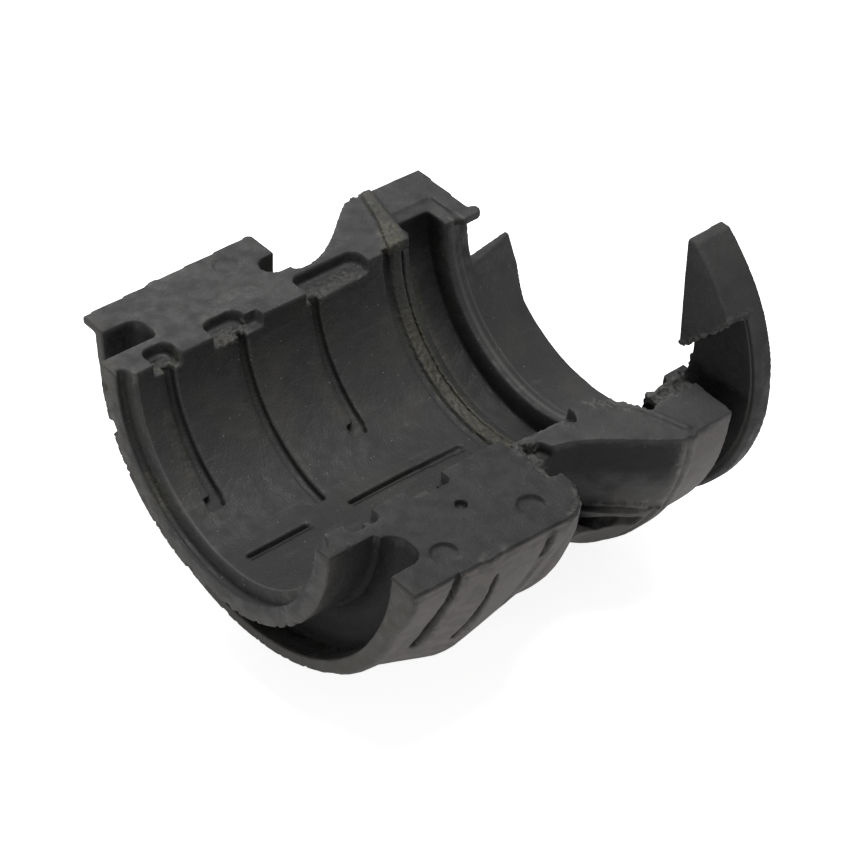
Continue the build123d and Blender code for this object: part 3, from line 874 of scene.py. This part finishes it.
def near(tree, value, line):
    middle, half, soft = line
    gap = combine(tree, "ABSOLUTE", combine(tree, "SUBTRACT", value, middle * mm), 0)
    return spread(tree, gap, (half - soft) * mm, (half + soft) * mm, 1.0, 0.0)


def blend(tree, share, first, second):
    step = tree.nodes.new("ShaderNodeMix")
    step.data_type = "RGBA"
    tree.links.new(share, step.inputs["Factor"])
    setOrLink(tree, step.inputs[6], first)
    setOrLink(tree, step.inputs[7], second)
    return step.outputs[2]


def splitAttribute(tree, name):
    attribute = tree.nodes.new("ShaderNodeAttribute")
    attribute.attribute_name = name
    parts = tree.nodes.new("ShaderNodeSeparateColor")
    tree.links.new(attribute.outputs["Color"], parts.inputs[0])
    return (*parts.outputs, attribute.outputs["Alpha"])


def slotShadeLines(tree, across, lengthwise, height, lines):
    # painted shade in the thin slots beside the wide ones
    nearReach = near(tree, lengthwise, lines["nearSlots"])
    farReach = near(tree, lengthwise, lines["farSlots"])
    slotShade = scaled(tree, near(tree, across, lines["thinSlot"]), largest(tree, nearReach, farReach))
    return scaled(tree, slotShade, near(tree, height, lines["boreFloor"]))


def edgeHighlightLines(tree, boreGap, lengthwise, lines):
    # painted highlights on the edges of the lip and of the bar seat
    lip = largest(tree, near(tree, lengthwise, lines["lipNear"]), near(tree, lengthwise, lines["lipFar"]))
    lip = scaled(tree, lip, near(tree, boreGap, lines["lipRadius"]))
    seat = scaled(tree, near(tree, lengthwise, lines["seatEdge"]), near(tree, boreGap, lines["seatRadius"]))
    return largest(tree, lip, seat)


def discShadeAndHighlight(tree, across, lengthwise, height, boreGap, lines, shares):
    # painted shade on the disc's face and its edge, stronger towards its top, and a painted highlight on
    # the raised line near its edge
    pastBell = largest(
        tree,
        spread(tree, boreGap, *shares["pastBellRadius"]),
        spread(tree, across, *shares["pastBellSide"]),
    )
    onDisc = scaled(tree, near(tree, lengthwise, lines["discPlane"]), pastBell)
    centerX, centerZ = lines["discCenter"]
    discAcross = combine(tree, "SUBTRACT", across, centerX * mm)
    discHeight = combine(tree, "SUBTRACT", height, centerZ * mm)
    discGap = distance(tree, discAcross, discHeight)
    face = largest(tree, near(tree, discGap, lines["discFaceShade"]), near(tree, discGap, lines["discEdgeShade"]))
    face = scaled(tree, scaled(tree, face, onDisc), spread(tree, height, *shares["discHeight"]))
    return face, scaled(tree, near(tree, discGap, lines["discLineHighlight"]), onDisc)


def whiteSpecks(tree, place, inside, shares, scale):
    # white specks, mostly in the bore
    speck = tree.nodes.new("ShaderNodeTexVoronoi")
    speck.inputs["Scale"].default_value = scale
    tree.links.new(place, speck.inputs["Vector"])
    parts = tree.nodes.new("ShaderNodeSeparateColor")
    tree.links.new(speck.outputs["Color"], parts.inputs[0])
    dot = spread(tree, speck.outputs["Distance"], *shares["speckDot"])
    kept = spread(tree, parts.outputs[0], *shares["speckKept"])
    return scaled(tree, scaled(tree, dot, kept), spread(tree, inside, *shares["speckInside"]))


def addBump(tree, height, depth, strength, normal=None):
    bump = tree.nodes.new("ShaderNodeBump")
    bump.inputs["Distance"].default_value = depth
    bump.inputs["Strength"].default_value = strength
    tree.links.new(height, bump.inputs["Height"])
    if normal:
        tree.links.new(normal, bump.inputs["Normal"])
    return bump.outputs[0]


def makeRubber(finish, patterns, shares, lines):
    material = bpy.data.materials.new("wornRubber")
    material.use_nodes = True
    tree = material.node_tree
    shader = tree.nodes["Principled BSDF"]
    shader.inputs["Specular IOR Level"].default_value = finish["shine"]
    place = tree.nodes.new("ShaderNodeTexCoord").outputs["Object"]
    dustyPart, tornPart, chalkAndHighlightPart = splitAttribute(tree, "wornAndLitPlaces")[:3]
    inside, outsidePart, brownPart, dark = splitAttribute(tree, "skinAndShadePlaces")
    axes = tree.nodes.new("ShaderNodeSeparateXYZ")
    tree.links.new(place, axes.inputs[0])
    across, lengthwise, height = axes.outputs
    boreGap = distance(tree, across, height)

    cloud = addNoise(tree, place, patterns["cloud"])
    mottle = addNoise(tree, place, patterns["mottle"])
    grain = addNoise(tree, place, patterns["grain"])
    crumbs = addNoise(tree, place, patterns["crumbs"])
    streaks = addNoise(tree, place, patterns["streaks"], patterns["streakStretch"])

    # handled rubber, paler outside and browner on the near faces; the bore a little darker and the unlit
    # places dark as painted shade
    color = blend(tree, spread(tree, cloud, *shares["pale"]), finish["deepColor"], finish["paleColor"])
    color = blend(tree, scaled(tree, inside, finish["boreShare"]), color, finish["boreColor"])
    outside = scaled(tree, outsidePart, spread(tree, mottle, *shares["outside"]))
    color = blend(tree, outside, color, finish["outerColor"])
    brown = scaled(tree, brownPart, spread(tree, mottle, *shares["brown"]))
    color = blend(tree, brown, color, finish["brownColor"])
    color = blend(tree, dark, color, finish["paintedShadeColor"])

    # torn rubber, olive dust in the crumbly places, chalk where it was rubbed and a painted highlight on
    # the neck ledge
    torn = scaled(tree, tornPart, spread(tree, crumbs, *shares["torn"]))
    color = blend(tree, torn, color, finish["tornColor"])
    dusty = scaled(tree, dustyPart, spread(tree, crumbs, *shares["dusty"]))
    color = blend(tree, dusty, color, finish["dustColor"])
    wash = scaled(tree, inside, spread(tree, cloud, *shares["wash"]))
    color = blend(tree, wash, color, finish["dustColor"])
    rubbedAndLit = scaled(tree, chalkAndHighlightPart, spread(tree, mottle, *shares["rubbedAndLit"]))
    streaked = scaled(tree, inside, spread(tree, streaks, *shares["streaked"]))
    chalkAndHighlight = largest(tree, rubbedAndLit, streaked)
    color = blend(tree, scaled(tree, chalkAndHighlight, finish["chalkAndHighlightShare"]), color, finish["chalkAndHighlightColor"])

    # fine lines that follow the form: painted shade in the thin slots and on the disc face, painted
    # highlights on the edges and the disc's raised line; then specks
    slotShade = slotShadeLines(tree, across, lengthwise, height, lines)
    edgeHighlights = edgeHighlightLines(tree, boreGap, lengthwise, lines)
    discFaceShade, discLineHighlight = discShadeAndHighlight(tree, across, lengthwise, height, boreGap, lines, shares)
    color = blend(tree, scaled(tree, slotShade, finish["slotShadeShare"]), color, finish["paintedShadeColor"])
    color = blend(tree, scaled(tree, edgeHighlights, finish["edgeHighlightShare"]), color, finish["chalkAndHighlightColor"])
    color = blend(tree, scaled(tree, discFaceShade, finish["discFaceShadeShare"]), color, finish["paintedShadeColor"])
    color = blend(tree, scaled(tree, discLineHighlight, finish["discLineHighlightShare"]), color, finish["chalkAndHighlightColor"])
    specks = whiteSpecks(tree, place, inside, shares, patterns["speckScale"])
    color = blend(tree, specks, color, finish["chalkAndHighlightColor"])
    tree.links.new(color, shader.inputs["Base Color"])

    wear = largest(tree, largest(tree, torn, dusty), chalkAndHighlight)
    rough = spread(tree, mottle, *shares["rough"], finish["roughLow"], finish["roughHigh"])
    dull = scaled(tree, largest(tree, wear, dark), finish["wornRough"])
    tree.links.new(largest(tree, rough, dull), shader.inputs["Roughness"])

    crumbled = combine(tree, "ADD", grain, scaled(tree, wear, crumbs))
    fine = addBump(tree, crumbled, finish["grainDepth"], 1.0)
    uneven = addBump(tree, mottle, finish["unevenDepth"], finish["unevenStrength"], fine)
    tree.links.new(uneven, shader.inputs["Normal"])
    return material


body.data.materials.clear()
body.data.materials.append(makeRubber(rubberFinish, rubberPatterns, rubberShares, rubberLines))
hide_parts("bushing_half")
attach(body, "root")
print("rubber finished")
